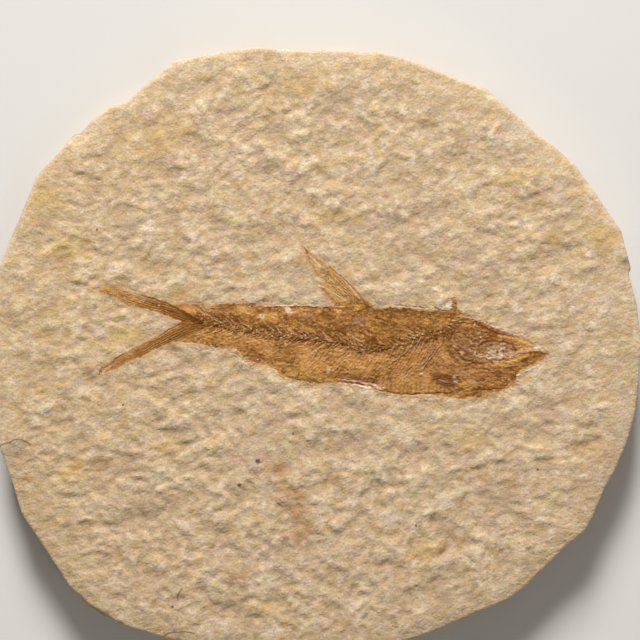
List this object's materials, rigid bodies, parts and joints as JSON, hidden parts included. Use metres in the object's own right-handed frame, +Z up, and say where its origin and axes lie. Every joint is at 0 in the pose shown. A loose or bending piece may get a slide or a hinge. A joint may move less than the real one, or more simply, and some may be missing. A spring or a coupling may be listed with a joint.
{
  "type": "fossil fish slab",
  "caption": "Thin, roughly round limestone slab with a nibbled rim, lying on its back, with a flattened fossil fish in its top face.",
  "frame": {"origin": "centre of the slab's underside, on the surface it lies on", "axes": "+Z up out of the face that shows the fish, +X along the slab's longest side towards the fish's head, +Y towards the fish's back"},
  "size_m": [0.101, 0.095, 0.007],
  "materials": {
    "limestone": "rough, cream to tan, mottled ochre and grey",
    "fossil_bone": "dull orange-brown bone and scale film with a dark backbone"
  },
  "bodies": {
    "root": {"limestone_slab": "limestone", "fossil_fish": "fossil_bone"}
  },
  "joints": []
}
